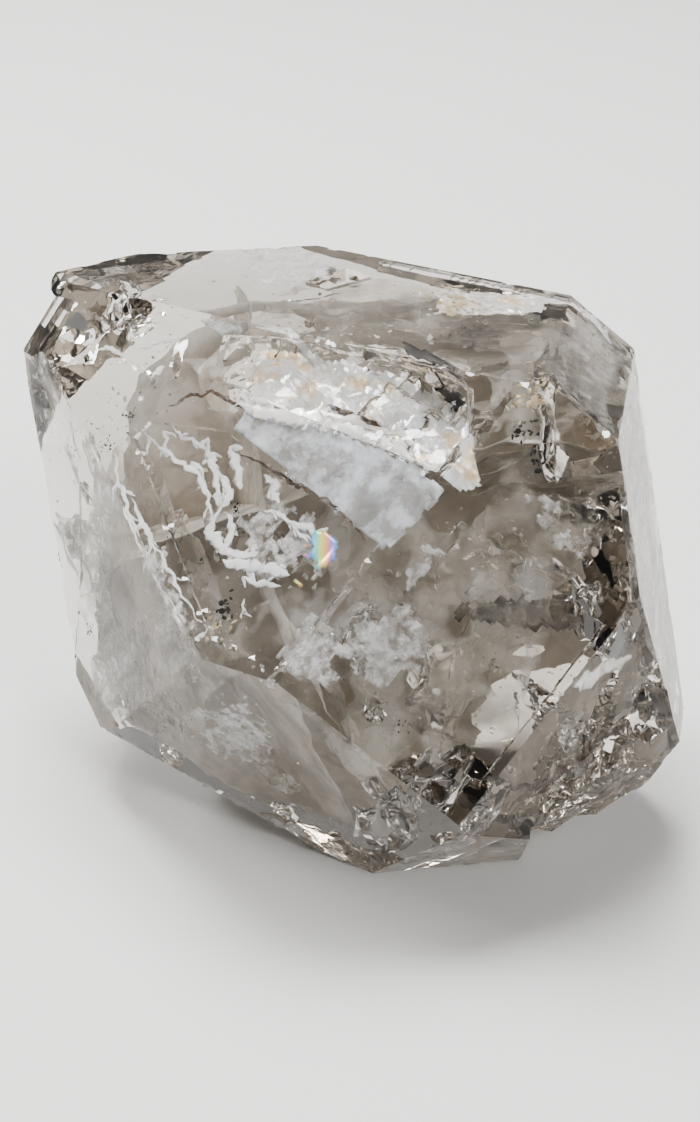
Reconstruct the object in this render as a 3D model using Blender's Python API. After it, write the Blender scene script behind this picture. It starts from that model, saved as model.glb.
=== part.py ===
"""Herkimer diamond: one clear quartz crystal with a termination at each end.

Metres, +Z up. The crystal lies on one of its termination faces, with its tip up and to the
left (-X) and its foot down and to the right (+X). Its largest hollow faces the front (-Y).
The origin is in the middle of the box round it, on the surface it rests on.

The faces are those of quartz: six prism faces along the crystal's long axis, and six
termination faces at each end. Each is a flat cut at its own distance from the centre.
Inside this file a bmesh is in millimetres, and make_object turns it into metres.
"""

import math

import bmesh
import bpy
from mathutils import Matrix, Vector, noise

MM = 0.001

# Angle between the long axis and the normal of a termination face, the same on all quartz
TERMINATION_ANGLE = math.radians(51.79)
# Where the tip points, seen from above, turned from +X
AXIS_HEADING = math.radians(168.86)

# Distance of each face from the centre in mm, in turns of 60 degrees round the long axis.
# The first of each is the one most nearly overhead, and FOOT[3] is what the crystal rests on.
PRISM = (22.3, 20.2, 16.4, 23.0, 18.0, 16.6)
TIP = (16.9, 25.5, 24.9, 24.0, 17.3, 13.4)
FOOT = (22.1, 20.3, 20.5, 21.3, 24.2, 22.6)

# Flat breaks: heading and elevation of the normal in degrees, and distance from the centre in mm
TIP_BREAK = (-162.2, 37.3, 24.6)
LOWER_BEVEL = (-133.7, -46.1, 21.57)
CORNER_BREAK = (-16.0, -36.0, 28.0)

# The rough break under the foot: where its upright wall stands and how high its roof is, in mm
BREAK_WALL_X = 12.6
BREAK_ROOF_Z = 4.7
BREAK_STEP_X = 16.6
BREAK_STEP_RISE = 1.1
BREAK_ROOF_FALL = 0.12

# The thin slab of the top face that still stands past the broken tip, in mm
SLAB_THICKNESS = 0.9
SLAB_REACH = 1.1

# A cutter stands this far out of the face that it cuts, in mm
PROUD = 2.0
BIG = 120.0

for old in list(bpy.data.objects):
    bpy.data.objects.remove(old, do_unlink=True)

crystal_collection = bpy.data.collections.new("herkimer_diamond")
cutter_collection = bpy.data.collections.new("cutters")
bpy.context.scene.collection.children.link(crystal_collection)
bpy.context.scene.collection.children.link(cutter_collection)


# The crystal's own directions
axis = Vector((
    math.sin(TERMINATION_ANGLE) * math.cos(AXIS_HEADING),
    math.sin(TERMINATION_ANGLE) * math.sin(AXIS_HEADING),
    math.cos(TERMINATION_ANGLE),
))
overhead = (Vector((0, 0, 1)) - axis * math.cos(TERMINATION_ANGLE)).normalized()
across = axis.cross(overhead)
centre = Vector((0, 0, FOOT[3]))


def prism_normal(turn):
    """Normal of one prism face, in turns of 60 degrees from the one most nearly overhead."""
    angle = turn * math.tau / 6
    return overhead * math.cos(angle) + across * math.sin(angle)


def face_normal(group, turn):
    """Normal of a face of the group prism, tip or foot."""
    sideways = prism_normal(turn)
    if group == "prism":
        return sideways
    along = math.cos(TERMINATION_ANGLE) if group == "tip" else -math.cos(TERMINATION_ANGLE)
    return sideways * math.sin(TERMINATION_ANGLE) + axis * along


def heading_normal(heading, elevation):
    """Normal of a break from its heading and elevation in degrees."""
    flat = math.cos(math.radians(elevation))
    turn = math.radians(heading)
    return Vector((flat * math.cos(turn), flat * math.sin(turn), math.sin(math.radians(elevation))))


def face_frame(group, turn):
    """Axes on a face: x along the growth lines, y up the face to the tip, z out of it."""
    distance = {"prism": PRISM, "tip": TIP, "foot": FOOT}[group][turn]
    normal = face_normal(group, turn)
    lines = axis.cross(normal).normalized()
    up_face = normal.cross(lines)
    frame = Matrix((lines, up_face, normal)).transposed().to_4x4()
    frame.translation = centre + normal * distance
    return frame


def make_object(name, mesh_in_mm, collection):
    """Turns a bmesh in millimetres into an object in metres."""
    bmesh.ops.recalc_face_normals(mesh_in_mm, faces=mesh_in_mm.faces)
    bmesh.ops.scale(mesh_in_mm, vec=Vector((MM, MM, MM)), verts=mesh_in_mm.verts)
    mesh = bpy.data.meshes.new(name)
    mesh_in_mm.to_mesh(mesh)
    mesh_in_mm.free()
    made = bpy.data.objects.new(name, mesh)
    collection.objects.link(made)
    return made


def cut_flat(body, normal, distance):
    """Cuts away what lies past a plane and closes the cut with one flat face."""
    bmesh.ops.bisect_plane(
        body,
        geom=body.verts[:] + body.edges[:] + body.faces[:],
        dist=1e-5,
        plane_co=centre + normal * distance,
        plane_no=normal,
        clear_outer=True,
    )
    rim = [edge for edge in body.edges if edge.is_boundary]
    if rim:
        bmesh.ops.contextual_create(body, geom=rim)


# The crystal's body: a block cut flat once for each face and each flat break
body = bmesh.new()
bmesh.ops.create_cube(body, size=BIG)
bmesh.ops.translate(body, vec=centre, verts=body.verts)
for group, distances in (("prism", PRISM), ("tip", TIP), ("foot", FOOT)):
    for turn, distance in enumerate(distances):
        cut_flat(body, face_normal(group, turn), distance)
for heading, elevation, distance in (TIP_BREAK, LOWER_BEVEL, CORNER_BREAK):
    cut_flat(body, heading_normal(heading, elevation), distance)
crystal = make_object("herkimer_crystal", body, crystal_collection)


def cut_with(cutter):
    """Takes a cutter away from the crystal."""
    cutter.hide_render = True
    cutter.display_type = "WIRE"
    cut = crystal.modifiers.new(cutter.name, "BOOLEAN")
    cut.operation = "DIFFERENCE"
    cut.solver = "EXACT"
    cut.object = cutter


def pit(name, frame, outline, depth, fall=(0, 0), lean=(0, 0), grain=3.0, roughness=0.0, cell=2.0):
    """Cuts a hollow with upright walls and a rough floor into a face.

    The outline is convex and runs anticlockwise, in mm on the face. fall is how much deeper
    the floor gets per mm along x and y, and lean moves the floor sideways, so that a wall
    overhangs. The floor is a grid of cells, lifted by noise of the given grain.
    """
    low = Vector((min(x for x, y in outline), min(y for x, y in outline)))
    high = Vector((max(x for x, y in outline), max(y for x, y in outline)))
    middle = (low + high) / 2
    size = high - low
    columns = max(1, round(size.x / cell))
    rows = max(1, round(size.y / cell))
    floor = bmesh.new()
    bmesh.ops.create_grid(floor, x_segments=columns, y_segments=rows, size=0.5)
    bmesh.ops.scale(floor, vec=Vector((size.x, size.y, 1)), verts=floor.verts)
    bmesh.ops.translate(floor, vec=middle.to_3d(), verts=floor.verts)
    for start, end in zip(outline, outline[1:] + outline[:1]):
        side = Vector(end) - Vector(start)
        bmesh.ops.bisect_plane(
            floor,
            geom=floor.verts[:] + floor.edges[:] + floor.faces[:],
            dist=1e-4,
            plane_co=Vector(start).to_3d(),
            plane_no=Vector((side.y, -side.x, 0)),
            clear_outer=True,
        )
    bmesh.ops.triangulate(floor, faces=floor.faces)
    top = bmesh.ops.extrude_face_region(floor, geom=floor.faces[:])
    top_verts = {v for v in top["geom"] if isinstance(v, bmesh.types.BMVert)}
    for vert in floor.verts:
        if vert in top_verts:
            vert.co.z = PROUD
            continue
        lift = noise.noise((frame @ vert.co) / grain) * roughness
        away = vert.co.to_2d() - middle
        vert.co.z = lift - depth - fall[0] * away.x - fall[1] * away.y
        vert.co.x += lean[0]
        vert.co.y += lean[1]
    bmesh.ops.transform(floor, matrix=frame, verts=floor.verts)
    cut_with(make_object(name, floor, cutter_collection))


def scoop(name, frame, place, radii, turn=0.0, roughness=0.12, grain=2.5, detail=2):
    """Cuts a rounded hollow: a lumpy ball of the given half sizes in mm, held by its middle."""
    ball = bmesh.new()
    bmesh.ops.create_icosphere(ball, subdivisions=detail, radius=1.0)
    sized = Matrix.Translation(place) @ Matrix.Rotation(turn, 4, "Z") @ Matrix.Diagonal((*radii, 1.0))
    for vert in ball.verts:
        vert.co *= 1 + roughness * noise.noise((frame @ sized @ vert.co) / grain)
    bmesh.ops.transform(ball, matrix=frame @ sized, verts=ball.verts)
    cut_with(make_object(name, ball, cutter_collection))


# The broken tip: the break goes deeper below the top face, whose last layer stands out as a slab
slab_frame = face_frame("tip", 0)
break_normal = heading_normal(TIP_BREAK[0], TIP_BREAK[1])
slab_underside = TIP[0] - SLAB_THICKNESS
under_slab = bmesh.new()
bmesh.ops.create_cube(under_slab, size=BIG)
bmesh.ops.translate(
    under_slab,
    vec=centre + Vector((0, 0, slab_underside - BIG / 2)),
    verts=under_slab.verts,
)
bmesh.ops.bisect_plane(
    under_slab,
    geom=under_slab.verts[:] + under_slab.edges[:] + under_slab.faces[:],
    dist=1e-5,
    plane_co=centre + break_normal * (TIP_BREAK[2] - SLAB_REACH),
    plane_no=-break_normal,
    clear_outer=True,
)
bmesh.ops.contextual_create(under_slab, geom=[edge for edge in under_slab.edges if edge.is_boundary])
cut_with(make_object("under_slab", under_slab, cutter_collection))

# The big hollow under the edge of the top face: a rough trench with an overhanging wall
TRENCH = [
    (6.3, -9.2), (9.6, -9.2), (12.2, -7.0), (11.6, -3.6), (9.9, 1.2),
    (7.9, 7.0), (5.2, 11.6), (2.2, 10.2), (3.3, 4.6),
]
UNDERCUT = [(9.6, -6.6), (11.9, -6.4), (12.3, -4.6), (11.4, -1.6), (10.4, 1.8), (9.4, 1.6)]
hollow_face = face_frame("tip", 5)
pit("trench", hollow_face, TRENCH, 1.5, fall=(0.14, 0), lean=(0.7, 0), grain=1.7, roughness=1.3, cell=1.2)
pit("undercut", hollow_face, UNDERCUT, 3.4, lean=(0.8, 0), grain=1.5, roughness=0.8, cell=1.2)

# The sunken window left of the striped plate, with its straight edge along the growth
WINDOW = [(-10.6, -9.2), (0.4, -9.2), (0.2, 6.4), (-2.6, 12.0), (-4.2, 12.2), (-11.8, -3.6)]
pit("window", hollow_face, WINDOW, 0.45, grain=4.0, roughness=0.15, cell=4.0)

# Bruises by the tip
scoop("tip_bruise", hollow_face, Vector((2.0, 16.0, 0.35)), (3.0, 4.0, 0.95), roughness=0.5, grain=1.6)
scoop("tip_chip", hollow_face, Vector((-1.0, 21.5, 0.3)), (2.4, 2.0, 0.9), roughness=0.5, grain=1.4)

# The lower layer on the left face, along its outer edge
LEFT_LAYER = [(-18.6, -1.6), (-10.2, 5.6), (-6.6, 10.0), (-4.0, 15.4), (-5.4, 21.0), (-9.6, 24.5)]
pit("left_layer", face_frame("tip", 4), LEFT_LAYER, 0.4, grain=2.0, roughness=0.5, cell=2.0)

# The lower layer on the front prism face
FRONT_LAYER = [
    (-8.0, -14.8), (5.8, -14.8), (5.6, -11.8), (3.7, -9.3), (1.1, -6.9), (-2.6, -7.8), (-8.4, -11.5),
]
pit("front_layer", face_frame("prism", 5), FRONT_LAYER, 0.5, grain=3.0, roughness=0.4, cell=2.0)

# The notch in the top face
TOP_NOTCH = [(8.4, 3.6), (11.6, 0.9), (13.2, 3.2), (9.6, 5.6)]
pit("top_notch", slab_frame, TOP_NOTCH, 0.9, grain=1.5, roughness=0.5, cell=1.2)

# The rough break under the foot, cut upwards from the surface that the crystal rests on
under = Matrix(((1, 0, 0), (0, -1, 0), (0, 0, -1))).to_4x4()
BREAK_ROOF = [(BREAK_WALL_X, -30.0), (30.0, -30.0), (30.0, 30.0), (BREAK_WALL_X, 30.0)]
BREAK_STEP = [(BREAK_STEP_X, 6.0), (30.0, 6.0), (30.0, 30.0), (BREAK_STEP_X, 30.0)]
break_fall = (0, BREAK_ROOF_FALL)
step_roof_z = BREAK_ROOF_Z + BREAK_STEP_RISE
pit("break_roof", under, BREAK_ROOF, BREAK_ROOF_Z, fall=break_fall, grain=3.0, roughness=1.6, cell=1.8)
pit("break_step", under, BREAK_STEP, step_roof_z, grain=3.0, roughness=1.6, cell=1.8)

# Scoops that the break left in the lower right face
foot_face = face_frame("foot", 5)
FOOT_SCOOPS = (
    ((-0.5, -9.0, 0.7), (4.2, 3.4, 1.7), 0.3),
    ((3.5, -11.5, 0.5), (2.6, 3.2, 1.5), -0.4),
    ((-4.6, -8.2, 0.5), (2.6, 2.2, 1.2), 0.8),
    ((1.5, -5.4, 0.5), (3.2, 1.6, 1.0), 0.1),
)
for number, (place, radii, turn) in enumerate(FOOT_SCOOPS, 1):
    name = f"foot_scoop_{number}"
    scoop(name, foot_face, Vector(place), radii, turn, roughness=0.45, grain=2.0, detail=3)

# Hidden sides: a stepped hollow at the back of the tip, a layer and chips
BACK_HOLLOW = [(-6.0, 6.2), (5.5, 6.2), (1.6, 15.4), (-1.6, 15.6)]
BACK_HOLLOW_FLOOR = [(-3.4, 7.4), (3.0, 7.4), (0.6, 12.6), (-0.8, 12.6)]
BACK_LAYER = [(-11.0, -6.0), (3.5, -9.5), (9.0, -2.0), (7.0, 7.5), (-2.0, 9.5), (-10.0, 4.0)]
UPPER_BACK_LAYER = [(-9.0, -5.6), (4.6, -5.6), (5.0, 6.5), (1.0, 9.0), (-6.5, 1.5)]
pit("back_hollow", face_frame("tip", 2), BACK_HOLLOW, 0.9, grain=3.0, roughness=0.2, cell=3.0)
pit("back_hollow_floor", face_frame("tip", 2), BACK_HOLLOW_FLOOR, 2.1, grain=2.0, roughness=0.7, cell=1.6)
pit("back_layer", face_frame("prism", 2), BACK_LAYER, 0.45, grain=4.0, roughness=0.2, cell=4.0)
pit("upper_back_layer", face_frame("prism", 1), UPPER_BACK_LAYER, 0.5, grain=4.0, roughness=0.25, cell=3.0)
scoop("back_chip", face_frame("foot", 1), Vector((-3.0, -10.0, 0.9)), (5.0, 4.0, 1.8), 0.5, roughness=0.35)

# Clear quartz with a faint smoky cast
quartz = bpy.data.materials.new("quartz")
quartz.use_nodes = True
shader = quartz.node_tree.nodes["Principled BSDF"]
shader.inputs["Base Color"].default_value = (0.80, 0.77, 0.73, 1.0)
shader.inputs["Roughness"].default_value = 0.04
shader.inputs["Metallic"].default_value = 0.0
shader.inputs["IOR"].default_value = 1.544
shader.inputs["Transmission Weight"].default_value = 0.9
crystal.data.materials.append(quartz)

# The crystal and its cutters hang on one empty, which puts the middle of the box at the origin
seat = bpy.data.objects.new("seat", None)
crystal_collection.objects.link(seat)
for piece in crystal_collection.objects[:] + cutter_collection.objects[:]:
    if piece is not seat:
        piece.parent = seat
cut_mesh = crystal.evaluated_get(bpy.context.evaluated_depsgraph_get()).data
for side in (0, 1):
    reach = [vert.co[side] for vert in cut_mesh.vertices]
    seat.location[side] = -(min(reach) + max(reach)) / 2
bpy.context.view_layer.update()
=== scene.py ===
"""Looks of one herkimer diamond: a clear, faintly smoky quartz crystal full of healed cracks."""

import math
import random

import bmesh
import bpy
from mathutils import Matrix, Vector, noise
from mathutils.bvhtree import BVHTree


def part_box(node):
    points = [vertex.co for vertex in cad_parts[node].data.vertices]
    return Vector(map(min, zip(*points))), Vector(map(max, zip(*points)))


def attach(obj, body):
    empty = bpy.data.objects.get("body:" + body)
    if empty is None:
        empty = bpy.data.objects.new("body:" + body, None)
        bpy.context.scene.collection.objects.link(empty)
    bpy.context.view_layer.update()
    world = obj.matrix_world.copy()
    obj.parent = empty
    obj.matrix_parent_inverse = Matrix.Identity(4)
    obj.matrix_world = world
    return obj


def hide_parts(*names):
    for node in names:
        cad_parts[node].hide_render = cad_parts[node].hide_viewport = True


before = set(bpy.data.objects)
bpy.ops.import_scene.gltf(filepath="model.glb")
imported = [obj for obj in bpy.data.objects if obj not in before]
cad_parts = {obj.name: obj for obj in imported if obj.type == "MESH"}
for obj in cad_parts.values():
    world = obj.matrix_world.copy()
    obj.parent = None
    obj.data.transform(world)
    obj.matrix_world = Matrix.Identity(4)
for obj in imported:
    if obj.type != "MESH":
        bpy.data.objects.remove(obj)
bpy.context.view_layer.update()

MM = 0.001

# The camera stands in front of the crystal and looks down at it, as the photographer did.
# Its long lens keeps the faces flat, and everything is in focus.
CAMERA_PLACE = (-0.000105, -0.131892, 0.089567)
CAMERA_DOWN = math.radians(28.03)
camera_data = bpy.data.cameras.new("camera")
camera_data.lens = 62.74
camera_data.sensor_width = 36.0
camera_data.clip_start = 0.01
camera = bpy.data.objects.new("camera", camera_data)
camera.location = CAMERA_PLACE
camera.rotation_euler = (math.pi / 2 - CAMERA_DOWN, 0, 0)
bpy.context.scene.collection.objects.link(camera)
bpy.context.scene.camera = camera

# The studio: a plain pale floor, a wide soft light overhead and smaller ones from the left and
# the front. Quartz shows what stands round it, so the room is plain grey, darker lower down.
FLOOR_SIZE = 3.0
FLOOR_DROP = 0.00002
FLOOR_COLOUR = (0.42, 0.415, 0.405, 1.0)
ROOM_SHADES = ((0.0, (0.20, 0.20, 0.205)), (0.25, (0.24, 0.245, 0.25)), (0.9, (0.46, 0.47, 0.49)))

floor_mesh = bmesh.new()
bmesh.ops.create_grid(floor_mesh, x_segments=1, y_segments=1, size=FLOOR_SIZE / 2)
bmesh.ops.translate(floor_mesh, vec=(0, 0, -FLOOR_DROP), verts=floor_mesh.verts)
floor_data = bpy.data.meshes.new("floor")
floor_mesh.to_mesh(floor_data)
floor_mesh.free()
floor = bpy.data.objects.new("floor", floor_data)
bpy.context.scene.collection.objects.link(floor)
floor_finish = bpy.data.materials.new("floor")
floor_finish.use_nodes = True
floor_shader = floor_finish.node_tree.nodes["Principled BSDF"]
floor_shader.inputs["Base Color"].default_value = FLOOR_COLOUR
floor_shader.inputs["Roughness"].default_value = 0.75
floor.data.materials.append(floor_finish)

room = bpy.data.worlds.new("room")
room.use_nodes = True
heading = room.node_tree.nodes.new("ShaderNodeTexCoord")
height = room.node_tree.nodes.new("ShaderNodeSeparateXYZ")
shade = room.node_tree.nodes.new("ShaderNodeValToRGB")
for number, (place, colour) in enumerate(ROOM_SHADES):
    stops = shade.color_ramp.elements
    stop = stops[number] if number < 2 else stops.new(place)
    stop.position = place
    stop.color = (*colour, 1.0)
room.node_tree.links.new(heading.outputs["Generated"], height.inputs["Vector"])
room.node_tree.links.new(height.outputs["Z"], shade.inputs["Fac"])
room.node_tree.links.new(shade.outputs["Color"], room.node_tree.nodes["Background"].inputs["Color"])
bpy.context.scene.world = room


def soft_light(name, place, size, power):
    """A square softbox that faces the crystal."""
    lamp = bpy.data.lights.new(name, "AREA")
    lamp.size = size
    lamp.energy = power
    light = bpy.data.objects.new(name, lamp)
    light.location = place
    light.rotation_euler = Vector(place).to_track_quat("Z", "Y").to_euler()
    bpy.context.scene.collection.objects.link(light)


soft_light("overhead_light", (-0.06, 0.16, 0.60), 0.34, 9.5)
soft_light("left_light", (-0.52, 0.22, 0.34), 0.20, 4.5)
soft_light("front_light", (0.34, -0.50, 0.46), 0.20, 4.5)

# The crystal itself: six prism faces along its long axis and six faces at each end. Quartz always
# has the same angles, so a place on a face is given as mm along its growth lines, mm up towards
# the tip and mm below the face.
TERMINATION_ANGLE = math.radians(51.79)
AXIS_HEADING = math.radians(168.86)
CRYSTAL_CENTRE = Vector((0.145, -0.432, 21.3)) * MM

crystal_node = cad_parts["herkimer_crystal"]
axis = Vector((
    math.sin(TERMINATION_ANGLE) * math.cos(AXIS_HEADING),
    math.sin(TERMINATION_ANGLE) * math.sin(AXIS_HEADING),
    math.cos(TERMINATION_ANGLE),
))
overhead = (Vector((0, 0, 1)) - axis * math.cos(TERMINATION_ANGLE)).normalized()
across = axis.cross(overhead)


def face_frame(group, turn):
    """Axes on a face of the group prism, tip or foot: x along the growth lines, z out of it."""
    angle = turn * math.tau / 6
    normal = overhead * math.cos(angle) + across * math.sin(angle)
    if group != "prism":
        along = math.cos(TERMINATION_ANGLE) * (1 if group == "tip" else -1)
        normal = normal * math.sin(TERMINATION_ANGLE) + axis * along
    reach = max((vert.co - CRYSTAL_CENTRE).dot(normal) for vert in crystal_node.data.vertices)
    lines = axis.cross(normal).normalized()
    made = Matrix((lines, normal.cross(lines), normal)).transposed().to_4x4()
    made.translation = CRYSTAL_CENTRE + normal * reach
    return made


TOP = face_frame("tip", 0)
LARGE_TIP_FACE = face_frame("tip", 5)
LEFT_TIP_FACE = face_frame("tip", 4)
FRONT_PRISM_FACE = face_frame("prism", 5)
LOWER_LEFT_FACE = face_frame("prism", 4)
UPPER_RIGHT_FACE = face_frame("prism", 0)
ROUGH_FOOT_FACE = face_frame("foot", 5)
FACES = [face_frame(group, turn) for group in ("prism", "tip", "foot") for turn in range(6)]

# The skin of the crystal, with growth relief on the flat faces and shell-shaped dishes in the
# hollows. The cracks inside it are thin closed gaps, whose walls face into the gap.
SKIN_SCALE = 0.53
ON_FACE = 0.01 * MM
SUNK_FACE = 0.95 * MM
FACE_RELIEF = 0.028 * MM
DISH_DEPTH = 0.42 * MM
CRUMB_DEPTH = 0.09 * MM
NICK_DEPTH = 0.45 * MM
CALM_TIP = -11.5 * MM
CRACK_COUNT = 60
CRACK_WIDTHS = (0.8, 1.2, 1.8, 2.6, 4.5)
CRACK_GAP = 0.03


def face_under(vert):
    """The flat face that a point of the skin belongs to, sunk layers too. None in a hollow."""
    for face in FACES:
        under = (face.translation - vert.co).dot(face.col[2].to_3d())
        if -ON_FACE < under < SUNK_FACE and vert.normal.dot(face.col[2].to_3d()) > 0.98:
            return face
    return None


skin = bmesh.new()
skin.from_mesh(crystal_node.data)
bmesh.ops.remove_doubles(skin, verts=skin.verts, dist=0.001 * MM)
coarse = bpy.data.meshes.new("coarse_skin")
skin.to_mesh(coarse)
skin.free()
coarse_object = bpy.data.objects.new("coarse_skin", coarse)
bpy.context.scene.collection.objects.link(coarse_object)
even = coarse_object.modifiers.new("even", "REMESH")
even.mode = "SHARP"
even.octree_depth = 8
even.scale = SKIN_SCALE
even.use_remove_disconnected = False
skin = bmesh.new()
skin.from_mesh(coarse_object.evaluated_get(bpy.context.evaluated_depsgraph_get()).to_mesh())
bpy.data.objects.remove(coarse_object)

bmesh.ops.recalc_face_normals(skin, faces=skin.faces)
skin.normal_update()
moves = []
for vert in skin.verts:
    spot = vert.co / MM
    face = face_under(vert)
    if face:
        local = face.inverted() @ vert.co / MM
        steps = noise.noise(Vector((local.x * 0.10, local.y * 0.9, local.z))) * 0.8
        swell = noise.noise(spot * 0.35) + 0.5 * noise.noise(spot * 0.9)
        moves.append(vert.normal * (steps + swell) * FACE_RELIEF)
    elif max(edge.calc_face_angle(0) for edge in vert.link_edges) > 0.5 and vert.co.z > 1 * MM:
        nick = max(0, noise.noise(spot * 0.7) + 0.3 * noise.noise(spot * 2.1) - 0.25)
        moves.append(-vert.normal * nick * NICK_DEPTH)
    else:
        dish = noise.voronoi(spot * 0.55)[0][0] ** 2 - 0.3
        crumb = noise.noise(spot * 1.6) + noise.noise(spot * 3.4) * 0.6
        calm = 0.12 if vert.co.x < CALM_TIP else 1.0
        moves.append(vert.normal * (dish * DISH_DEPTH + crumb * CRUMB_DEPTH) * calm)
for vert, move in zip(skin.verts, moves):
    vert.co += move
    vert.co.z = max(vert.co.z, 0)
for face in skin.faces:
    face.smooth = True

dice = random.Random(11)
surface = BVHTree.FromPolygons(
    [vert.co for vert in crystal_node.data.vertices],
    [face.vertices[:] for face in crystal_node.data.polygons],
)


def depth_inside(place):
    """How far a place is under the crystal's surface, in mm. Less than 0 is outside."""
    under_faces = min((face.translation - place).dot(face.col[2].to_3d()) for face in FACES)
    near, normal, _, gap = surface.find_nearest(place)
    return min(under_faces, math.copysign(gap, (near - place).dot(normal))) / MM


def place_inside(depth):
    """A random place at least so many mm under the surface."""
    low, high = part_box("herkimer_crystal")
    while True:
        place = Vector((dice.uniform(low[side], high[side]) for side in range(3)))
        if depth_inside(place) > depth:
            return place


def random_vector(spread):
    """A vector with a normal spread in each direction."""
    return Vector((dice.gauss(0, spread) for _ in range(3)))


def scatter_normal(spread):
    """The direction of one of the crystal's faces, tilted a little at random."""
    return (dice.choice(FACES).col[2].to_3d() + random_vector(spread)).normalized()


def turned_to(normal):
    """A turn that lays flat things square to a normal, with a random spin."""
    spin = Matrix.Rotation(dice.uniform(0, math.tau), 3, "Z")
    return normal.to_track_quat("Z", "Y").to_matrix() @ spin


def join(whole, part):
    """Adds one bmesh to another and frees it."""
    held = bpy.data.meshes.new("part")
    part.to_mesh(held)
    part.free()
    whole.from_mesh(held)
    bpy.data.meshes.remove(held)


def crack(place, normal, wide, tall, bend):
    """Adds a thin closed gap with wavy walls to the crystal."""
    gap = bmesh.new()
    bmesh.ops.create_icosphere(gap, subdivisions=3, radius=1.0)
    seed = random_vector(60)
    turn = turned_to(normal)
    for vert in gap.verts:
        flat = Vector((vert.co.x, vert.co.y, 0))
        round_edge = flat.normalized()
        edge = 1 + 0.5 * noise.noise(round_edge * 1.3 + seed) + 0.35 * noise.noise(round_edge * 3.7 + seed)
        wave = noise.noise(flat * 1.6 + seed) + 0.4 * noise.noise(flat * 4.0 + seed)
        local = (flat.x * wide * edge, flat.y * tall * edge, vert.co.z * CRACK_GAP + wave * bend)
        vert.co = place + turn @ Vector(local) * MM
    bmesh.ops.reverse_faces(gap, faces=gap.faces)
    for wall in gap.faces:
        wall.smooth = True
    join(skin, gap)


for _ in range(CRACK_COUNT):
    wide = dice.choice(CRACK_WIDTHS)
    spot = place_inside(wide * 0.8 + 0.9)
    crack(spot, scatter_normal(0.35), wide, wide * dice.uniform(0.4, 1.0), wide * 0.25)


def finished(name, mesh_in_progress, material):
    """Turns a bmesh in metres into a piece of the crystal."""
    mesh = bpy.data.meshes.new(name)
    mesh_in_progress.to_mesh(mesh)
    mesh_in_progress.free()
    piece = bpy.data.objects.new(name, mesh)
    bpy.context.scene.collection.objects.link(piece)
    mesh.materials.append(material)
    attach(piece, "root")
    return piece


quartz = bpy.data.materials.new("quartz")
quartz.use_nodes = True
nodes = quartz.node_tree.nodes
links = quartz.node_tree.links
quartz_shader = nodes["Principled BSDF"]
quartz_shader.inputs["Base Color"].default_value = (0.985, 0.98, 0.97, 1.0)
quartz_shader.inputs["Roughness"].default_value = 0.02
quartz_shader.inputs["IOR"].default_value = 1.544
quartz_shader.inputs["Transmission Weight"].default_value = 1.0
smoke = nodes.new("ShaderNodeVolumeAbsorption")
smoke.inputs["Color"].default_value = (0.55, 0.48, 0.38, 1.0)
smoke.inputs["Density"].default_value = 36.0
links.new(smoke.outputs["Volume"], nodes["Material Output"].inputs["Volume"])

crystal = finished("crystal", skin, quartz)
crystal.data.set_sharp_from_angle(angle=math.radians(24))
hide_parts("herkimer_crystal")


# The veils: healed cracks, each a curved sheet of tiny closed bubbles and flakes inside the
# quartz. They are what makes the crystal cloudy.
def mineral_finish(name, colours, roughness, grain=2.0, lines=None, cover=None, mirror=0.0, detail=3.0):
    """A mineral finish that drifts through its colours in cloudy patches of a grain in mm.

    lines is a face whose growth lines the colours follow. cover is how much the thinnest and
    the thickest parts hide, for a finish that is partly clear. mirror is for the walls of
    open cracks, which throw light back as a mirror does.
    """
    material = bpy.data.materials.new(name)
    material.use_nodes = True
    tree = material.node_tree
    shader = tree.nodes["Principled BSDF"]
    shader.inputs["Base Color"].default_value = (*colours[0], 1.0)
    shader.inputs["Roughness"].default_value = roughness
    shader.inputs["Metallic"].default_value = mirror
    where = tree.nodes.new("ShaderNodeTexCoord").outputs["Object"]
    if cover:
        wisps = tree.nodes.new("ShaderNodeTexNoise")
        wisps.inputs["Scale"].default_value = 1.7 / (grain * MM)
        wisps.inputs["Detail"].default_value = detail
        wisps.inputs["Roughness"].default_value = 0.6
        density = tree.nodes.new("ShaderNodeMapRange")
        density.inputs["From Min"].default_value = 0.40
        density.inputs["From Max"].default_value = 0.62
        density.inputs["To Min"].default_value = cover[0]
        density.inputs["To Max"].default_value = cover[1]
        tree.links.new(where, wisps.inputs["Vector"])
        tree.links.new(wisps.outputs["Fac"], density.inputs["Value"])
        tree.links.new(density.outputs["Result"], shader.inputs["Alpha"])
    if lines:
        turn = tree.nodes.new("ShaderNodeMapping")
        turn.vector_type = "TEXTURE"
        turn.inputs["Rotation"].default_value = lines.to_euler()
        turn.inputs["Scale"].default_value = (LINE_STRETCH, 1.0, 1.0)
        tree.links.new(where, turn.inputs["Vector"])
        where = turn.outputs["Vector"]
    if len(colours) > 1:
        clouding = tree.nodes.new("ShaderNodeTexNoise")
        clouding.inputs["Scale"].default_value = 1 / (grain * MM)
        clouding.inputs["Detail"].default_value = detail
        ramp = tree.nodes.new("ShaderNodeValToRGB")
        ramp.color_ramp.elements.remove(ramp.color_ramp.elements[1])
        for number, colour in enumerate(colours):
            place = 0.34 + 0.32 * number / (len(colours) - 1)
            stop = ramp.color_ramp.elements.new(place) if number else ramp.color_ramp.elements[0]
            stop.position = place
            stop.color = (*colour, 1.0)
        tree.links.new(where, clouding.inputs["Vector"])
        tree.links.new(clouding.outputs["Fac"], ramp.inputs["Fac"])
        tree.links.new(ramp.outputs["Color"], shader.inputs["Base Color"])
    return material


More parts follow.
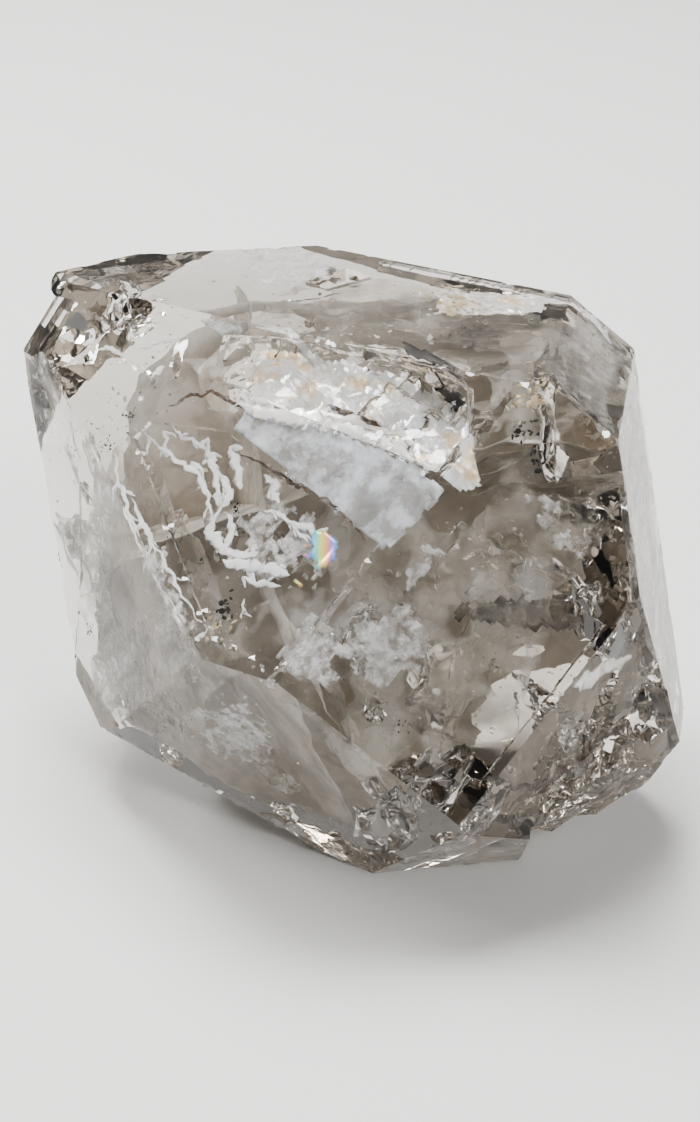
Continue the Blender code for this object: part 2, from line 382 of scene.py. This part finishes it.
def flake(made, place, normal, size, thick=0.25):
    """Adds one small six-sided flake, broad across the normal."""
    points = bmesh.ops.create_cone(
        made, cap_ends=True, segments=6, radius1=1.0, radius2=0.0, depth=thick
    )["verts"]
    turn = turned_to(normal)
    stretch = dice.uniform(0.35, 1.0)
    for point in points:
        point.co = place + turn @ Vector((point.co.x, point.co.y * stretch, point.co.z)) * size * MM


LINE_STRETCH = 7.0
VEIL_COUNT = 38
VEIL_FLAKES = 150
veils = bmesh.new()
for _ in range(VEIL_COUNT):
    veil = bmesh.new()
    middle = place_inside(2.0)
    normal = scatter_normal(0.3)
    turn = turned_to(normal)
    reach = dice.uniform(3.0, 9.0)
    seed = random_vector(60)
    for _ in range(VEIL_FLAKES):
        away = Vector((dice.gauss(0, 0.5), dice.gauss(0, 0.35), 0)) * reach
        if noise.noise(away * 0.5 + seed) < -0.05:
            continue
        lift = noise.noise(away * 0.22 + seed) * reach * 0.55
        spot = middle + turn @ (away + Vector((0, 0, lift))) * MM
        if depth_inside(spot) > 0.6:
            flake(veil, spot, normal + random_vector(0.4), 0.05 + 0.22 * dice.random() ** 3)
    join(veils, veil)
finished("veils", veils, mineral_finish("veil", [(0.86, 0.84, 0.80), (0.62, 0.55, 0.46)], 0.35, 5.0))

# The clouds: wide curved cracks that healed with so many bubbles that they look like smoke.
# Each is a thin closed sheet, thick in patches and clear between them. Some follow the faces.
CLOUD_COUNT = 3
CLOUDED_FACES = (LEFT_TIP_FACE, FRONT_PRISM_FACE, TOP)
CLOUD_CELLS = 32
CLOUD_THICKNESS = 0.05 * MM
CLOUD_EDGE = 0.7
clouds = bmesh.new()


def thicken(sheet, thickness):
    """Makes a flat sheet a closed one with a thickness, facing outwards.

    Parts of it that hang together by one corner only are cut off first.
    """
    pinched = True
    while pinched:
        pinched = [vert for vert in sheet.verts if sum(edge.is_boundary for edge in vert.link_edges) > 2]
        bmesh.ops.delete(sheet, geom=pinched, context="VERTS")
    bmesh.ops.solidify(sheet, geom=sheet.faces[:], thickness=thickness)
    bmesh.ops.recalc_face_normals(sheet, faces=sheet.faces)
    if sheet.calc_volume(signed=True) < 0:
        bmesh.ops.reverse_faces(sheet, faces=sheet.faces)


def cloud(middle, turn, reach, lift, edge):
    """Adds one curved sheet with a ragged edge, which stops short of the crystal's surface."""
    seed = random_vector(60)
    sheet = bmesh.new()
    bmesh.ops.create_grid(sheet, x_segments=CLOUD_CELLS, y_segments=CLOUD_CELLS, size=1.0)
    lost = []
    for vert in sheet.verts:
        flat = vert.co.copy()
        wave = noise.noise(flat * 1.1 + seed) * lift + noise.noise(flat * 4.0 + seed) * 0.05
        vert.co = middle + turn @ Vector((flat.x, flat.y, wave)) * reach * MM
        ragged = flat.length + 0.5 * noise.noise(flat * 2.2 + seed)
        if ragged > 0.9 or depth_inside(vert.co) < edge * (1 + 0.9 * noise.noise(flat * 3.0 + seed)):
            lost.append(vert)
    bmesh.ops.delete(sheet, geom=lost, context="VERTS")
    rim = [vert for vert in sheet.verts if vert.is_boundary]
    for _ in range(4):
        bmesh.ops.smooth_vert(sheet, verts=rim, factor=0.5, use_axis_x=True, use_axis_y=True, use_axis_z=True)
    thicken(sheet, CLOUD_THICKNESS)
    for face in sheet.faces:
        face.smooth = True
    join(clouds, sheet)


for _ in range(CLOUD_COUNT):
    cloud(place_inside(3.5), turned_to(scatter_normal(0.25)), dice.uniform(7.0, 14.0), 0.35, CLOUD_EDGE)
for face in CLOUDED_FACES:
    out = face.col[2].to_3d()
    cloud(face.translation - out * dice.uniform(3.2, 4.6) * MM, turned_to(out), 17.0, 0.10, CLOUD_EDGE)
cloud_colours = [(0.50, 0.44, 0.37), (0.66, 0.62, 0.56), (0.80, 0.78, 0.75)]
cloud_finish = mineral_finish("cloud", cloud_colours, 0.45, 5.5, cover=(0.0, 0.42), detail=2.5)
finished("clouds", clouds, cloud_finish)

# The heart: three broad healed cracks that cross in the middle of the crystal. They are almost
# closed to the eye, so its depths look brown-grey from every side.
HEART_CRACKS = (((0.1, -1.0, 0.35), 3.0), ((-0.25, 0.6, 1.0), -3.0), ((1.0, 0.2, 0.2), 3.0))
HEART_REACH = 30.0
HEART_EDGE = 1.8
clouds = bmesh.new()
for out, shift in HEART_CRACKS:
    out = Vector(out).normalized()
    cloud(CRYSTAL_CENTRE - out * shift * MM, turned_to(out), HEART_REACH, 0.16, HEART_EDGE)
heart_colours = [(0.68, 0.63, 0.565), (0.80, 0.765, 0.715), (0.91, 0.89, 0.86)]
finished("heart", clouds, mineral_finish("heart", heart_colours, 0.5, 6.0, cover=(0.60, 1.0), detail=3.0))

# Growth haze: streaks of fine bubbles under three side faces, laid down along their growth lines
HAZED_FACES = (
    ("left_haze", LEFT_TIP_FACE), ("right_haze", UPPER_RIGHT_FACE), ("foot_haze", face_frame("foot", 0)),
)
HAZE_DEPTH = 0.7
haze_colours = [(0.20, 0.18, 0.155), (0.40, 0.37, 0.33), (0.62, 0.60, 0.57)]
for name, face in HAZED_FACES:
    clouds = bmesh.new()
    out = face.col[2].to_3d()
    cloud(face.translation - out * HAZE_DEPTH * MM, turned_to(out), 19.0, 0.02, 0.25)
    finished(name, clouds, mineral_finish(name, haze_colours, 0.5, 1.6, face, cover=(0.2, 0.9)))

# Sparks: small open cracks, flat and bright as mirrors, that catch the light one by one
SPARK_GROUPS = 6
SPARKS_EACH = 40
SPARK_CLUSTERS = (
    (FRONT_PRISM_FACE, (-5.0, -3.0), 1.0), (FRONT_PRISM_FACE, (-9.0, -1.0), 1.2),
    (FRONT_PRISM_FACE, (0.5, -2.0), 1.5), (FRONT_PRISM_FACE, (8.8, -9.0), 1.5),
    (LOWER_LEFT_FACE, (-5.0, 0.0), 1.0), (LARGE_TIP_FACE, (0.5, 13.5), 1.0),
)
sparks = bmesh.new()
for _ in range(SPARK_GROUPS):
    group = bmesh.new()
    for _ in range(SPARKS_EACH):
        flake(group, place_inside(0.5), scatter_normal(0.15), 0.05 + 0.30 * dice.random() ** 4, 0.1)
    join(sparks, group)
for face, place, depth in SPARK_CLUSTERS:
    group = bmesh.new()
    for _ in range(SPARKS_EACH):
        near = (place[0] + dice.gauss(0, 1.6), place[1] + dice.gauss(0, 1.6))
        spot = face @ (Vector((*near, -abs(dice.gauss(depth, 1.0)) - 0.3)) * MM)
        if depth_inside(spot) > 0.3:
            flake(group, spot, scatter_normal(0.2), 0.05 + 0.25 * dice.random() ** 3, 0.1)
    join(sparks, group)
finished("sparks", sparks, mineral_finish("spark", [(0.95, 0.95, 0.94)], 0.12, mirror=0.9))


# White veins: cracks that branch like frost under the large tip face, filled with fine white
# bubbles. Each is a flat ribbon that follows a crack's edge.
def spot_on(face, place, depth):
    """So many mm under the skin, below a place in mm along a face's growth lines and up it."""
    down = -face.col[2].to_3d()
    start = face @ (Vector((place[0], place[1], 2.0)) * MM)
    met = surface.ray_cast(start, down)[0] or start + down * 2 * MM
    return met + down * depth * MM


def smooth_way(points, steps):
    """Points along one smooth curve through the given points."""
    way = []
    ends = [points[0] * 2 - points[1], *points, points[-1] * 2 - points[-2]]
    for before, start, end, after in zip(ends, ends[1:], ends[2:], ends[3:]):
        for step in range(steps):
            t = step / steps
            way.append(0.5 * (
                2 * start + (end - before) * t
                + (2 * before - 5 * start + 4 * end - after) * t ** 2
                + (3 * start - before - 3 * end + after) * t ** 3
            ))
    way.append(points[-1])
    return way


def ribbon(made, face, places, width, depth, sides=8):
    """Adds a flat closed ribbon with ragged edges and pointed ends along places on a face."""
    part = bmesh.new()
    way = []
    for place in smooth_way([Vector(spot) for spot in places], 12):
        shake = noise.noise_vector(place.to_3d() * 1.1) * 0.28 + noise.noise_vector(place.to_3d() * 2.7) * 0.12
        way.append(spot_on(face, place + shake.xy, depth))
    normal = face.col[2].to_3d()
    ring = bmesh.ops.create_circle(part, segments=sides, radius=1.0)["verts"]
    edges = list({edge for vert in ring for edge in vert.link_edges})
    rings = [ring]
    for _ in way[1:]:
        grown = bmesh.ops.extrude_edge_only(part, edges=edges)["geom"]
        edges = [item for item in grown if isinstance(item, bmesh.types.BMEdge)]
        rings.append([item for item in grown if isinstance(item, bmesh.types.BMVert)])
    for number, (ring, place) in enumerate(zip(rings, way)):
        ahead = way[min(number + 1, len(way) - 1)] - way[max(number - 1, 0)]
        side = ahead.cross(normal).normalized()
        share = number / (len(way) - 1)
        body = width * max(0.06, math.sin(math.pi * share) ** 0.6)
        for corner, vert in enumerate(ring):
            angle = math.tau * corner / sides
            grain = place / MM + Vector((math.cos(angle), 0, 0))
            ragged = 1 + 0.8 * noise.noise(grain * 1.3) + 0.9 * noise.noise(grain * 3.6)
            out = side * math.cos(angle) * body * ragged + normal * math.sin(angle) * body * 0.14
            vert.co = place + out * MM / 2
    bmesh.ops.contextual_create(part, geom=rings[0])
    bmesh.ops.contextual_create(part, geom=rings[-1])
    bmesh.ops.recalc_face_normals(part, faces=part.faces)
    for face_made in part.faces:
        face_made.smooth = True
    join(made, part)


VEINS = (
    (0.55, [(-3.3, 12.3), (-3.6, 10.2), (-3.5, 7.9), (-3.7, 5.7), (-4.7, 3.8), (-5.7, 2.9)]),
    (0.35, [(-2.5, 11.1), (-2.9, 10.5), (-3.5, 9.7)]),
    (0.40, [(-3.1, 7.5), (-3.1, 6.4), (-3.9, 5.0)]),
    (0.38, [(-2.0, 10.8), (-1.9, 8.8), (-1.7, 7.1), (-2.1, 6.0)]),
    (0.85, [(-0.9, 7.8), (-1.7, 6.8), (-2.4, 5.6), (-3.3, 4.3), (-4.6, 3.1)]),
    (1.10, [(-0.5, 5.8), (-1.1, 4.4), (-2.3, 2.6)]),
    (0.80, [(-2.4, 4.6), (-3.2, 3.2), (-4.4, 2.8)]),
    (0.90, [(-0.4, 1.8), (-0.8, 0.7), (-1.4, -0.5)]),
    (1.00, [(-4.9, 3.1), (-5.9, 2.4), (-6.3, 1.2), (-6.5, 0.0)]),
    (0.80, [(-4.3, 2.3), (-5.0, 1.2), (-6.2, 0.4), (-6.0, -1.0), (-5.0, -1.6)]),
    (1.20, [(-7.1, 0.3), (-6.4, -1.5), (-5.5, -3.3), (-4.9, -4.8)]),
    (0.60, [(-7.4, -1.9), (-6.7, -3.3), (-6.1, -4.9)]),
    (0.45, [(-2.5, 0.2), (-2.0, -1.4), (-2.0, -2.6), (-2.5, -4.4)]),
    (0.70, [(-2.0, -1.8), (-1.7, -3.5), (-1.5, -5.4)]),
    (0.30, [(-8.2, -3.1), (-8.8, -3.6), (-9.4, -4.1)]),
    (0.45, [(-6.2, 12.9), (-7.6, 10.5), (-8.7, 8.5), (-9.6, 6.6), (-10.5, 4.9)]),
    (0.50, [(-7.8, 9.3), (-8.5, 7.3), (-9.3, 5.7), (-9.8, 4.6)]),
    (0.30, [(-9.2, 5.9), (-9.8, 3.4), (-10.6, 1.2), (-11.6, -1.7)]),
)
veins = bmesh.new()
for width, places in VEINS:
    ribbon(veins, LARGE_TIP_FACE, places, width * 0.78, 0.7)
    for start, end in zip(places, places[1:]):
        root = Vector(start).lerp(Vector(end), dice.random())
        ahead = (Vector(end) - Vector(start)).normalized()
        ahead.rotate(Matrix.Rotation(dice.choice((-1, 1)) * dice.uniform(0.4, 0.9), 2))
        spur = [root + ahead * reach * dice.uniform(0.5, 1.1) for reach in (0, 0.6, 1.3)]
        ribbon(veins, LARGE_TIP_FACE, spur, width * 0.45, 0.75)
TIP_ARCS = (
    (0.45, [(1.1, 17.4), (1.9, 17.0), (2.6, 16.4), (3.2, 15.6), (3.6, 14.7)]),
    (0.40, [(-0.8, 20.0), (-0.2, 19.3), (0.0, 18.4), (-0.4, 16.8)]),
    (0.80, [(1.3, 14.6), (0.6, 14.9), (-0.2, 14.7)]),
    (0.55, [(7.7, 9.9), (8.5, 8.1), (8.6, 6.8), (8.1, 5.7), (7.3, 4.8), (6.2, 4.4)]),
)
for width, places in TIP_ARCS:
    ribbon(veins, LARGE_TIP_FACE, places, width, 0.6)
ribbon(veins, LEFT_TIP_FACE, [(-5.7, 15.2), (-5.8, 13.4), (-5.2, 11.8)], 0.5, 0.6)
ribbon(veins, UPPER_RIGHT_FACE, [(11.0, -2.3), (10.2, -3.8), (8.4, -5.4)], 1.1, 0.8)
ribbon(veins, FRONT_PRISM_FACE, [(10.9, 1.4), (9.6, 0.5), (8.2, -0.6), (7.9, -1.9)], 0.8, 0.8)
vein_colours = [(0.80, 0.80, 0.80), (0.95, 0.955, 0.965), (0.98, 0.98, 0.985)]
finished("white_veins", veins, mineral_finish("vein", vein_colours, 0.30, 0.9))


# Flat milky plates: old growth faces inside the crystal, covered by later quartz. The largest
# lies beside the big hollow and is striped along the growth lines.
SHEET_THICKNESS = 0.06 * MM
SHEET_CLEARANCE = 0.12


def plate(made, face, outline, depth, relief, grain, crumpled=False, follows=False, ragged=0.0):
    """Adds a thin closed plate with the given convex outline in mm, parallel to a face.

    A crumpled one is broken into many flat facets. One that follows lies that deep under the
    skin, not under the face. A ragged one loses up to so many mm along its outline.
    """
    low = Vector((min(x for x, y in outline), min(y for x, y in outline)))
    high = Vector((max(x for x, y in outline), max(y for x, y in outline)))
    size = high - low
    middle = (low + high) / 2
    part = bmesh.new()
    bmesh.ops.create_grid(part, x_segments=round(size.x * 4), y_segments=round(size.y * 4), size=0.5)
    bmesh.ops.scale(part, vec=(size.x, size.y, 1), verts=part.verts)
    bmesh.ops.translate(part, vec=middle.to_3d(), verts=part.verts)
    for start, end in zip(outline, outline[1:] + outline[:1]):
        side = Vector(end) - Vector(start)
        bmesh.ops.bisect_plane(
            part, geom=part.verts[:] + part.edges[:] + part.faces[:], dist=1e-4,
            plane_co=(*start, 0), plane_no=(side.y, -side.x, 0), clear_outer=True,
        )
    lost = []
    down = -face.col[2].to_3d()
    for vert in part.verts:
        flat = Vector((vert.co.x, vert.co.y, depth))
        edge = min(
            (Vector(end) - Vector(start)).normalized().cross(flat.xy - Vector(start))
            for start, end in zip(outline, outline[1:] + outline[:1])
        )
        torn = ragged * (0.5 + noise.noise(flat * 0.8) + 0.5 * noise.noise(flat * 2.2))
        lines = noise.noise(Vector((flat.x * 0.15, flat.y * 2.4, depth)))
        swell = noise.noise(flat / grain)
        if crumpled:
            lines = 2 * noise.voronoi(flat / grain)[0][0] + noise.noise(flat * 2.5) - 0.8
        sunk = depth - (lines * 0.5 + swell) * relief
        vert.co = spot_on(face, flat, 0) if follows else face @ (Vector((*flat.xy, 0)) * MM)
        vert.co += down * sunk * MM
        if edge < torn or depth_inside(vert.co) < SHEET_CLEARANCE:
            lost.append(vert)
    bmesh.ops.delete(part, geom=lost, context="VERTS")
    thicken(part, SHEET_THICKNESS)
    for face_made in part.faces:
        face_made.smooth = not crumpled
    join(made, part)


STRIPED_PLATE = [(0.2, -9.6), (6.0, -10.4), (6.5, -5.9), (6.0, -1.2), (4.6, 2.7), (2.6, 6.4), (0.6, 6.2)]
SMALL_PLATES = (
    [(5.3, 14.8), (5.6, 10.4), (7.0, 10.9), (5.9, 14.4)],
    [(5.5, 9.3), (5.6, 8.0), (6.3, 6.4), (7.4, 6.9), (6.9, 9.0)],
)
plates = bmesh.new()
plate(plates, LARGE_TIP_FACE, STRIPED_PLATE, 0.8, 0.07, 2.0)
for outline in SMALL_PLATES:
    plate(plates, LARGE_TIP_FACE, outline, 0.7, 0.06, 1.5)
plate_colours = [(0.50, 0.51, 0.53), (0.65, 0.67, 0.70), (0.80, 0.82, 0.87)]
plate_finish = mineral_finish("milky_plate", plate_colours, 0.25, 3.2, LARGE_TIP_FACE, cover=(0.20, 0.90))
finished("milky_plates", plates, plate_finish)

# Milk in the quartz: patches where the cracks are so fine and close that they scatter the light
# as milk does. The one under the top face lies flat against it and is painted reflection: a pale sheen where that face
# mirrors the room.
MILK_AND_REFLECTION_PATCHES = (
    (LARGE_TIP_FACE, 0.9, 0.8, [(-13.6, -1.0), (-11.8, -2.4), (-10.0, 1.2), (-8.9, 4.4), (-9.4, 6.4),
                                (-10.4, 6.6), (-12.8, 3.4)]),
    (FRONT_PRISM_FACE, 1.0, 0.6, [(-7.7, -3.8), (-7.5, -5.2), (-4.0, -5.4), (-2.7, -3.5), (-3.5, -1.0), (-5.7, -1.4)]),
    (FRONT_PRISM_FACE, 1.4, 1.0, [(-1.8, -2.4), (0.2, -3.9), (3.4, -3.5), (3.8, -1.4), (0.5, -0.5)]),
    (FRONT_PRISM_FACE, 1.5, 1.6, [(-11.9, 0.5), (-9.5, -3.7), (-5.5, -3.2), (-5.0, 2.7), (-10.5, 4.2)]),
    (FRONT_PRISM_FACE, 1.9, 1.2, [(-9.5, -2.0), (-7.5, -6.5), (-2.5, -7.5), (-0.5, -3.5), (-4.5, -0.5)]),
    (FRONT_PRISM_FACE, 1.2, 1.2, [(7.4, -9.7), (7.1, -13.0), (8.6, -12.8), (10.6, -8.8), (11.2, -5.2), (8.8, -4.4)]),
    (LARGE_TIP_FACE, 2.2, 3.2, [(-8.5, -1.0), (-6.5, -6.5), (-2.0, -8.0), (0.5, -3.0), (-1.0, 2.5), (-5.5, 3.5)]),
    (LOWER_LEFT_FACE, 1.2, 2.0, [(-9.5, -2.0), (-3.8, -5.0), (2.6, -3.6), (4.0, 1.4), (-3.5, 3.6)]),
    # Painted reflection: this pale patch under the top face stands in for the room mirrored in that face.
    (TOP, 0.5, 1.4, [(9.3, 10.4), (7.2, 6.4), (10.6, 2.9), (14.2, 4.3), (18.6, 8.3), (18.0, 11.6), (14.3, 12.8)]),
)
milk = bmesh.new()
for face, depth, torn, outline in MILK_AND_REFLECTION_PATCHES:
    plate(milk, face, outline, depth, 0.15, 1.5, ragged=torn)
milk_and_reflection_colours = [(0.70, 0.68, 0.65), (0.84, 0.84, 0.84), (0.94, 0.94, 0.96)]
finished("milk_and_painted_reflection", milk, mineral_finish("milk", milk_and_reflection_colours, 0.3, 1.5, cover=(0.0, 0.80)))

# Dark films: two grey sheets of painted shade under the top face, one of them where its notch falls dark, and a brown
# one round the broken foot
SHADOWS = (
    (TOP, 1.6, 0.8, [(-0.8, -8.5), (-0.5, -11.2), (3.3, -11.2), (5.6, -8.5), (1.4, -5.6)]),
    (TOP, 0.8, 0.5, [(8.4, 2.0), (11.3, 0.4), (13.4, 3.0), (14.4, 5.6), (11.4, 4.2)]),
    (FRONT_PRISM_FACE, 1.8, 0.7, [(-0.8, -6.5), (3.1, -13.2), (6.0, -15.4), (5.8, -11.4), (3.1, -7.4), (0.1, -4.4)]),
)
shadows = bmesh.new()
for face, depth, torn, outline in SHADOWS:
    plate(shadows, face, outline, depth, 0.15, 1.5, ragged=torn)
shadow_colours = [(0.07, 0.055, 0.045), (0.16, 0.13, 0.10)]
finished("shade_and_brown_films", shadows, mineral_finish("shade_and_brown_film", shadow_colours, 0.4, 2.5, cover=(0.15, 0.85), detail=3.0))

# Glitter in the big hollow: the broken quartz there flashes white and cream, like crumpled
# foil. It is brightest along the lower lip. A like lump lies under the far end of the top face.
HOLLOW_FOIL = (
    [(2.6, 5.2), (5.2, -0.6), (11.2, -0.7), (10.2, 3.1), (8.6, 7.9), (6.4, 9.8), (2.7, 7.6)],
    [(5.2, -0.6), (6.4, -5.5), (11.6, -4.3), (11.2, -0.7)],
    [(6.4, -5.5), (6.4, -10.8), (7.9, -11.5), (11.0, -8.0), (11.6, -4.3)],
)
TOP_LUMP = [(5.2, -4.7), (4.9, -8.5), (7.3, -13.0), (10.8, -14.0), (11.6, -11.4), (11.6, -4.5), (8.2, -3.9)]
OVERHANG_PAINTED_SHADE = [(10.9, -5.8), (12.1, -7.8), (13.2, -5.8), (13.5, -3.3), (12.9, 1.2), (12.0, -1.6)]
HOLLOW_LIP = ((2.4, 7.2), (3.0, 4.6), (4.4, 1.6), (5.6, -1.2), (6.4, -4.4), (6.6, -8.6))
foil = bmesh.new()
for outline in HOLLOW_FOIL:
    plate(foil, LARGE_TIP_FACE, outline, 0.75, 0.30, 1.5, crumpled=True, follows=True)
plate(foil, TOP, TOP_LUMP, 1.5, 0.50, 1.3, crumpled=True, ragged=1.0)
# The near-black sheet by the upper right edge of the hollow is painted shade, laid where the overhang falls dark.
gap = bmesh.new()
plate(gap, LARGE_TIP_FACE, OVERHANG_PAINTED_SHADE, 0.32, 0.03, 1.5, follows=True)
finished("overhang_painted_shade", gap, mineral_finish("gap", [(0.025, 0.022, 0.02), (0.07, 0.06, 0.05)], 0.5, 1.0))
foil_colours = [
    (0.95, 0.76, 0.52), (0.98, 0.95, 0.89), (0.93, 0.94, 0.97), (0.98, 0.95, 0.90), (0.96, 0.80, 0.62),
]
finished("hollow_foil", foil, mineral_finish("foil", foil_colours, 0.28, 2.6, mirror=0.3))

glitter = bmesh.new()
for width, shift in ((1.3, 0.0), (0.7, 0.9)):
    ribbon(glitter, LARGE_TIP_FACE, [(x + shift, y) for x, y in HOLLOW_LIP], width, 0.45)
for place in smooth_way([Vector(spot) for spot in HOLLOW_LIP], 40):
    near = (place.x + dice.gauss(0, 0.4), place.y)
    tilt = LARGE_TIP_FACE.col[2].to_3d() + random_vector(0.45)
    flake(glitter, spot_on(LARGE_TIP_FACE, near, dice.uniform(0.4, 1.0)), tilt, dice.uniform(0.10, 0.38))
ribbon(glitter, ROUGH_FOOT_FACE, [(1.2, -2.7), (2.1, -3.3), (3.6, -4.5), (5.4, -5.7)], 1.7, 0.5)
glitter_colours = [(0.96, 0.93, 0.88), (0.98, 0.98, 0.98)]
finished("lip_glitter", glitter, mineral_finish("glitter", glitter_colours, 0.25, 1.4, mirror=0.2))

# Grains inside the quartz: black specks of carbon, cream clay and brown iron stain
GRAINS = (
    ("carbon_specks", (0.012, 0.011, 0.010), 0.5, (
        (LARGE_TIP_FACE, (-3.1, 14.1), 0.30), (LARGE_TIP_FACE, (-5.8, 14.1), 0.25),
        (LARGE_TIP_FACE, (-7.9, 4.4), 0.28), (LARGE_TIP_FACE, (-3.6, 2.2), 0.22),
        (LARGE_TIP_FACE, (-9.5, -2.3), 0.55), (LARGE_TIP_FACE, (-7.9, 1.5), 0.25),
        (LEFT_TIP_FACE, (-13.4, 0.6), 0.35), (FRONT_PRISM_FACE, (-8.4, -8.0), 0.28),
        (FRONT_PRISM_FACE, (-1.0, -10.5), 0.22), (FRONT_PRISM_FACE, (1.4, -11.8), 0.22),
        (FRONT_PRISM_FACE, (12.4, -1.9), 0.5), (FRONT_PRISM_FACE, (11.8, -4.0), 0.5),
    )),
    ("clay_grains", (0.66, 0.56, 0.38), 0.6, (
        (TOP, (9.6, -5.5), 0.9), (TOP, (7.0, -7.0), 0.8), (FRONT_PRISM_FACE, (-10.7, 5.1), 0.6),
        (FRONT_PRISM_FACE, (14.2, -0.5), 0.7), (FRONT_PRISM_FACE, (15.6, -1.2), 0.7),
    )),
)
for name, colour, roughness, spots in GRAINS:
    grains = bmesh.new()
    for face, place, size in spots:
        for _ in range(26):
            near = (place[0] + dice.gauss(0, size), place[1] + dice.gauss(0, size))
            spot = spot_on(face, near, dice.uniform(0.5, 1.4))
            if depth_inside(spot) > 0.2:
                flake(grains, spot, scatter_normal(0.5), size * dice.uniform(0.12, 0.5), 0.5)
    finished(name, grains, mineral_finish(name, [colour], roughness))

# Iron stain: thin brown films in the cracks by the hollow and in the broken foot
STAINS = (
    (LARGE_TIP_FACE, 0.30, [(-0.9, 11.8), (0.0, 11.2), (0.7, 10.6), (1.4, 9.9), (2.0, 9.6)]),
    (LARGE_TIP_FACE, 0.35, [(1.6, 10.0), (2.1, 8.7), (2.2, 7.7), (2.4, 6.4)]),
    (LARGE_TIP_FACE, 0.30, [(-0.3, 4.9), (0.1, 1.9), (0.3, -1.1), (0.6, -4.8), (0.2, -7.9)]),
    (LARGE_TIP_FACE, 0.45, [(6.0, 1.6), (6.7, 0.0), (7.1, -1.8), (7.2, -3.3)]),
    (ROUGH_FOOT_FACE, 1.00, [(-7.2, -4.0), (-5.3, -7.0), (-2.4, -9.4), (1.1, -11.3), (2.9, -11.9)]),
    (ROUGH_FOOT_FACE, 0.60, [(-6.6, -7.0), (-4.8, -9.4), (-2.6, -11.0)]),
)
FOOT_CRUST = [(-8.4, -5.4), (-6.6, -8.6), (-4.4, -11.0), (-1.7, -12.4), (-2.2, -10.8), (-4.8, -8.2), (-7.2, -5.0)]
stains = bmesh.new()
for face, width, places in STAINS:
    ribbon(stains, face, places, width, 0.5)
stain_colours = [(0.05, 0.028, 0.016), (0.15, 0.09, 0.05)]
finished("iron_stains", stains, mineral_finish("iron_stain", stain_colours, 0.7, 0.8, cover=(0.35, 0.95)))

# A crust of cream clay sticks in the rough lower edge of the foot
crust = bmesh.new()
plate(crust, ROUGH_FOOT_FACE, FOOT_CRUST, 0.35, 0.10, 0.8, crumpled=True, follows=True, ragged=0.8)
crust_colours = [(0.42, 0.36, 0.27), (0.66, 0.61, 0.52), (0.80, 0.77, 0.70)]
finished("foot_crust", crust, mineral_finish("crust", crust_colours, 0.8, 0.9, cover=(0.3, 1.0)))

# Rainbows: three fresh cracks so thin that they colour the light in bands
RAINBOWS = (
    [(-4.6, -5.6), (-3.2, -7.4), (-1.0, -7.0), (-0.6, -4.8), (-2.8, -3.9)],
    [(-5.9, -5.0), (-5.5, -6.6), (-4.2, -6.6), (-4.3, -5.0)],
    [(-0.3, -12.0), (0.8, -12.6), (1.2, -11.2), (0.2, -10.9)],
    [(3.8, 5.4), (5.0, 5.2), (5.4, 6.6), (4.2, 7.4)],
)
RAINBOW_BAND = 1.5
rainbows = bmesh.new()
for outline in RAINBOWS:
    plate(rainbows, LARGE_TIP_FACE, outline, 0.6, 0.10, 0.9, ragged=0.4)
rainbow_finish = mineral_finish("rainbow", [(0.9, 0.9, 0.9)], 0.15, mirror=0.3)
tree = rainbow_finish.node_tree
bands = tree.nodes.new("ShaderNodeTexWave")
bands.inputs["Scale"].default_value = 0.3 / (RAINBOW_BAND * MM)
bands.inputs["Distortion"].default_value = 2.5
bands.wave_profile = "SAW"
spectrum = tree.nodes.new("ShaderNodeValToRGB")
SPECTRUM = [(0.75, 0.35, 0.85), (0.25, 0.45, 0.95), (0.25, 0.85, 0.85), (0.85, 0.92, 0.35),
            (0.98, 0.72, 0.25), (0.95, 0.40, 0.45)]
spectrum.color_ramp.elements.remove(spectrum.color_ramp.elements[1])
for number, colour in enumerate(SPECTRUM):
    place = number / (len(SPECTRUM) - 1)
    stop = spectrum.color_ramp.elements.new(place) if number else spectrum.color_ramp.elements[0]
    stop.position = place
    stop.color = (*colour, 1.0)
where = tree.nodes.new("ShaderNodeTexCoord")
tree.links.new(where.outputs["Object"], bands.inputs["Vector"])
tree.links.new(bands.outputs["Fac"], spectrum.inputs["Fac"])
tree.links.new(spectrum.outputs["Color"], tree.nodes["Principled BSDF"].inputs["Base Color"])
finished("rainbow_cracks", rainbows, rainbow_finish)

bpy.context.scene.cycles.max_bounces = 10
bpy.context.scene.cycles.transmission_bounces = 10
bpy.context.scene.cycles.transparent_max_bounces = 10
bpy.context.scene.view_settings.look = "AgX - Medium High Contrast"
